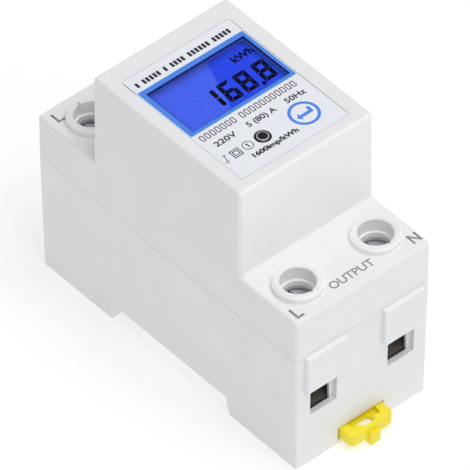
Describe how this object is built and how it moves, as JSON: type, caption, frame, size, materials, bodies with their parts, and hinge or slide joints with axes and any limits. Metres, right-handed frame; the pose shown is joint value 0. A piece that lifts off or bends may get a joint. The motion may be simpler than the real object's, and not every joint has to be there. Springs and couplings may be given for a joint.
{
  "type": "din rail energy meter",
  "caption": "Two-module single-phase energy meter for a 35 mm rail, with a blue display, four clamp terminals and a sprung yellow rail clip.",
  "frame": {"origin": "middle of the rail seat in the back: middle of the width, on the rail's centre line, where the rail's flanges touch", "axes": "X along the rail; +Y towards the input terminals, -Y towards the output terminals and the clip; +Z out of the wall, towards the display"},
  "size_m": [0.036, 0.0853, 0.0664],
  "materials": {
    "shell": "fine satin moulded",
    "clip": "smooth moulded",
    "label": "printed film",
    "clear": "polished clear plastic",
    "lcd": "backlit",
    "diffuser": "translucent",
    "dark_lens": "polished",
    "board": "solder mask",
    "black_plastic": "moulded",
    "plated_steel": "zinc plated",
    "spring_steel": "drawn",
    "copper": "tin flashed",
    "shunt_alloy": "drawn",
    "capacitor_yellow": "moulded",
    "sleeve": "shrunk sleeve",
    "varistor_blue": "dipped",
    "led_clear": "polished"
  },
  "bodies": {
    "meter": {"cover": "shell", "base": "shell", "faceplate": "label", "display_window": "clear", "lcd_panel": "lcd", "lcd_backlight": "diffuser", "pulse_lens": "dark_lens", "pulse_led": "led_clear", "key_switch": "black_plastic", "display_board": "board", "main_board": "board", "board_screws": "plated_steel", "board_connector": "black_plastic", "metering_chip": "black_plastic", "display_controller": "black_plastic", "dropper_capacitor": "capacitor_yellow", "smoothing_capacitor": "sleeve", "surge_varistor": "varistor_blue", "line_bar_in": "copper", "line_bar_out": "copper", "neutral_bar": "copper", "shunt": "shunt_alloy", "case_screws": "plated_steel", "clip_spring": "spring_steel"},
    "clip": {"rail_clip": "clip"},
    "key": {"key_stem": "black_plastic"},
    "screw_line_in": {"screw_line_in": "plated_steel"},
    "cage_line_in": {"cage_line_in": "plated_steel"},
    "screw_line_out": {"screw_line_out": "plated_steel"},
    "cage_line_out": {"cage_line_out": "plated_steel"},
    "screw_neutral_in": {"screw_neutral_in": "plated_steel"},
    "cage_neutral_in": {"cage_neutral_in": "plated_steel"},
    "screw_neutral_out": {"screw_neutral_out": "plated_steel"},
    "cage_neutral_out": {"cage_neutral_out": "plated_steel"}
  },
  "joints": [
    {"name": "clip_slide", "type": "slide", "parent": "meter", "child": "clip", "axis": [0, -1, 0], "range_m": [0, 0.0035], "stiffness_N_per_m": 1500, "springref_m": -0.004, "deforming": ["clip_spring"]},
    {"name": "key_press", "type": "slide", "parent": "meter", "child": "key", "axis": [0, 0, -1], "range_m": [0, 0.00025], "stiffness_N_per_m": 4000, "springref_m": -0.0001},
    {"name": "turn_line_in", "type": "hinge", "parent": "meter", "child": "screw_line_in", "pos_m": [-0.01044, 0.0318, 0.0338], "axis": [0, 0, -1], "range_deg": [0, 2250]},
    {"name": "lift_line_in", "type": "slide", "parent": "meter", "child": "cage_line_in", "axis": [0, 0, 1], "range_m": [0, 0.005]},
    {"name": "turn_line_out", "type": "hinge", "parent": "meter", "child": "screw_line_out", "pos_m": [-0.01044, -0.0318, 0.0338], "axis": [0, 0, -1], "range_deg": [0, 2250]},
    {"name": "lift_line_out", "type": "slide", "parent": "meter", "child": "cage_line_out", "axis": [0, 0, 1], "range_m": [0, 0.005]},
    {"name": "turn_neutral_in", "type": "hinge", "parent": "meter", "child": "screw_neutral_in", "pos_m": [0.01044, 0.0318, 0.0338], "axis": [0, 0, -1], "range_deg": [0, 2250]},
    {"name": "lift_neutral_in", "type": "slide", "parent": "meter", "child": "cage_neutral_in", "axis": [0, 0, 1], "range_m": [0, 0.005]},
    {"name": "turn_neutral_out", "type": "hinge", "parent": "meter", "child": "screw_neutral_out", "pos_m": [0.01044, -0.0318, 0.0338], "axis": [0, 0, -1], "range_deg": [0, 2250]},
    {"name": "lift_neutral_out", "type": "slide", "parent": "meter", "child": "cage_neutral_out", "axis": [0, 0, 1], "range_m": [0, 0.005]}
  ],
  "couplings": [
    {"joint": "turn_line_in", "follows": "lift_line_in", "rad_per_m": 7854},
    {"joint": "turn_line_out", "follows": "lift_line_out", "rad_per_m": 7854},
    {"joint": "turn_neutral_in", "follows": "lift_neutral_in", "rad_per_m": 7854},
    {"joint": "turn_neutral_out", "follows": "lift_neutral_out", "rad_per_m": 7854}
  ]
}
